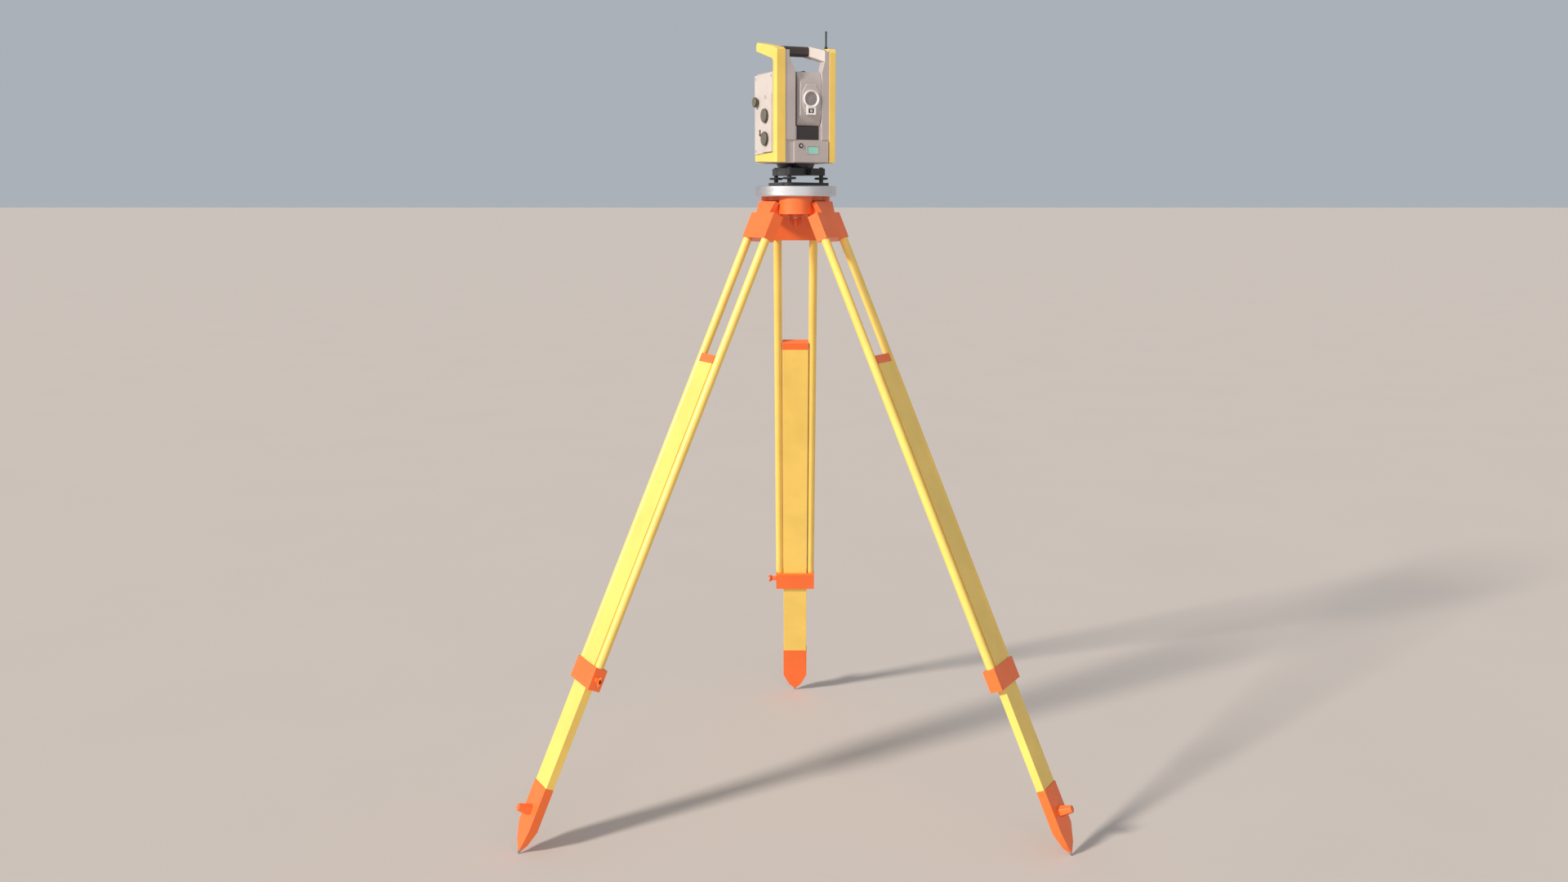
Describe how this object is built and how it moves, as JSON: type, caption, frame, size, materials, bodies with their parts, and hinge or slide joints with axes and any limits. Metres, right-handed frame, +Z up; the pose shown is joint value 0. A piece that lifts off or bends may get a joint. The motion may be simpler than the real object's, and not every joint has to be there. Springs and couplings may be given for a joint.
{
  "type": "surveyor tripod",
  "caption": "Telescoping leg tripod with pointed shoes, flat head and centring screw, carrying a levelling base and a total station.",
  "frame": {"origin": "the station point on the ground, on the plumb line below the centre of the head", "axes": "+Z up along the plumb line; legs at 90, 210 and 330 degrees about it, so one leg points along +Y and the gap between the other two faces -Y"},
  "size_m": [1.2666, 1.1102, 1.848],
  "materials": {
    "orange": "satin enamel on cast aluminium",
    "orange_screw": "satin enamel",
    "yellow_leg": "satin powder coat on aluminium tube",
    "plate_metal": "turned and clear anodised",
    "steel": "zinc plated",
    "black_grip": "fine moulded grain",
    "black_metal": "black anodised",
    "vial": "clear",
    "housing": "fine textured paint",
    "yellow_frame": "satin moulded",
    "pale_panel": "satin moulded",
    "antenna": "matt",
    "display": "glossy",
    "knob": "knurled",
    "hood": "matt",
    "optics": "coated"
  },
  "bodies": {
    "head": {"head_plate": "plate_metal", "head_casting": "orange", "hinge_bolts": "steel", "plate_screws": "steel", "arm_pivot_bolt": "steel"},
    "leg_1": {"leg_yoke_1": "orange", "leg_rails_1": "yellow_leg", "leg_clamp_1": "orange"},
    "leg_2": {"leg_yoke_2": "orange", "leg_rails_2": "yellow_leg", "leg_clamp_2": "orange"},
    "leg_3": {"leg_yoke_3": "orange", "leg_rails_3": "yellow_leg", "leg_clamp_3": "orange"},
    "clamp_screw_1": {"wing_screw_1": "orange_screw"},
    "clamp_screw_2": {"wing_screw_2": "orange_screw"},
    "clamp_screw_3": {"wing_screw_3": "orange_screw"},
    "lower_leg_1": {"inner_leg_1": "yellow_leg", "leg_cap_1": "orange", "foot_shoe_1": "orange", "foot_tip_1": "steel"},
    "lower_leg_2": {"inner_leg_2": "yellow_leg", "leg_cap_2": "orange", "foot_shoe_2": "orange", "foot_tip_2": "steel"},
    "lower_leg_3": {"inner_leg_3": "yellow_leg", "leg_cap_3": "orange", "foot_shoe_3": "orange", "foot_tip_3": "steel"},
    "centring_arm": {"centring_arm": "orange"},
    "slider": {"slot_slider": "steel"},
    "centring_screw": {"centring_screw": "steel", "centring_knob": "orange_screw"},
    "base": {"base_plate": "black_metal", "base_body": "black_metal", "level_cup": "black_metal", "level_vial": "vial", "station_socket": "black_metal"},
    "foot_screw_1": {"foot_screw_1": "black_metal"},
    "foot_screw_2": {"foot_screw_2": "black_metal"},
    "foot_screw_3": {"foot_screw_3": "black_metal"},
    "base_lock": {"base_lock": "black_metal"},
    "station": {"station_deck": "housing", "left_standard": "housing", "right_standard": "housing", "left_frame": "yellow_frame", "right_frame": "yellow_frame", "side_panel": "pale_panel", "handle_grip": "black_grip", "handle_bracket": "housing", "antenna": "antenna", "display_window": "display", "valley_cover": "hood"},
    "power_button": {"power_button": "black_grip"},
    "focus_knob": {"focus_knob": "knob"},
    "upper_drive_knob": {"upper_drive_knob": "knob"},
    "lower_drive_knob": {"lower_drive_knob": "knob"},
    "telescope": {"telescope_body": "housing", "objective_ring": "pale_panel", "telescope_glass": "optics"}
  },
  "joints": [
    {"name": "leg_hinge_1", "type": "hinge", "parent": "head", "child": "leg_1", "pos_m": [0, 0.05, 1.447], "axis": [-1, 0, 0], "range_deg": [-10, 24.2]},
    {"name": "leg_hinge_2", "type": "hinge", "parent": "head", "child": "leg_2", "pos_m": [-0.0433, -0.025, 1.447], "axis": [0.5, -0.866, 0], "range_deg": [-10, 24.2]},
    {"name": "leg_hinge_3", "type": "hinge", "parent": "head", "child": "leg_3", "pos_m": [0.0433, -0.025, 1.447], "axis": [0.5, 0.866, 0], "range_deg": [-10, 24.2]},
    {"name": "leg_slide_1", "type": "slide", "parent": "leg_1", "child": "lower_leg_1", "axis": [0, 0.4125, -0.911], "range_m": [-0.235, 0.45]},
    {"name": "leg_slide_2", "type": "slide", "parent": "leg_2", "child": "lower_leg_2", "axis": [-0.3572, -0.2063, -0.911], "range_m": [-0.235, 0.45]},
    {"name": "leg_slide_3", "type": "slide", "parent": "leg_3", "child": "lower_leg_3", "axis": [0.3572, -0.2063, -0.911], "range_m": [-0.235, 0.45]},
    {"name": "clamp_turn_1", "type": "hinge", "parent": "leg_1", "child": "clamp_screw_1", "pos_m": [-0.054, 0.54594, 0.39786], "axis": [-1, 0, 0], "range_deg": [0, 540]},
    {"name": "clamp_turn_2", "type": "hinge", "parent": "leg_2", "child": "clamp_screw_2", "pos_m": [-0.4458, -0.31973, 0.39786], "axis": [0.5, -0.866, 0], "range_deg": [0, 540]},
    {"name": "clamp_turn_3", "type": "hinge", "parent": "leg_3", "child": "clamp_screw_3", "pos_m": [0.4998, -0.2262, 0.39786], "axis": [0.5, 0.866, 0], "range_deg": [0, 540]},
    {"name": "arm_swing", "type": "hinge", "parent": "head", "child": "centring_arm", "pos_m": [0, -0.044, 1.42495], "axis": [0, 0, 1], "range_deg": [-15, 15]},
    {"name": "slot_slide", "type": "slide", "parent": "centring_arm", "child": "slider", "axis": [0, 1, 0], "range_m": [-0.018, 0.018]},
    {"name": "centring_turn", "type": "hinge", "parent": "slider", "child": "centring_screw", "pos_m": [0, 0, 1.42495], "axis": [0, 0, 1], "continuous": true},
    {"name": "base_turn", "type": "hinge", "parent": "slider", "child": "base", "pos_m": [0, 0, 1.496], "axis": [0, 0, 1], "continuous": true},
    {"name": "foot_screw_turn_1", "type": "hinge", "parent": "base", "child": "foot_screw_1", "pos_m": [0.06028, 0.01831, 1.516], "axis": [0, 0, 1], "continuous": true},
    {"name": "foot_screw_turn_2", "type": "hinge", "parent": "base", "child": "foot_screw_2", "pos_m": [-0.046, 0.04305, 1.516], "axis": [0, 0, 1], "continuous": true},
    {"name": "foot_screw_turn_3", "type": "hinge", "parent": "base", "child": "foot_screw_3", "pos_m": [-0.01428, -0.06136, 1.516], "axis": [0, 0, 1], "continuous": true},
    {"name": "base_lock_turn", "type": "hinge", "parent": "base", "child": "base_lock", "pos_m": [0.02957, -0.02767, 1.5288], "axis": [0.7302, -0.6833, 0], "range_deg": [0, 180]},
    {"name": "station_turn", "type": "hinge", "parent": "base", "child": "station", "pos_m": [0, 0, 1.556], "axis": [0, 0, 1], "continuous": true},
    {"name": "telescope_tilt", "type": "hinge", "parent": "station", "child": "telescope", "pos_m": [0, 0, 1.692], "axis": [0.9063, 0.4226, 0], "continuous": true},
    {"name": "focus_knob_turn", "type": "hinge", "parent": "station", "child": "focus_knob", "pos_m": [-0.0876, 0.00329, 1.6875], "axis": [0.9063, 0.4226, 0], "continuous": true},
    {"name": "upper_drive_knob_turn", "type": "hinge", "parent": "station", "child": "upper_drive_knob", "pos_m": [-0.06478, -0.04565, 1.6545], "axis": [0.9063, 0.4226, 0], "continuous": true},
    {"name": "lower_drive_knob_turn", "type": "hinge", "parent": "station", "child": "lower_drive_knob", "pos_m": [-0.06478, -0.04565, 1.603], "axis": [0.9063, 0.4226, 0], "continuous": true},
    {"name": "power_button_press", "type": "slide", "parent": "station", "child": "power_button", "axis": [-0.4226, 0.9063, 0], "range_m": [0, 0.001], "stiffness_N_per_m": 400, "springref_m": -0.0005}
  ]
}
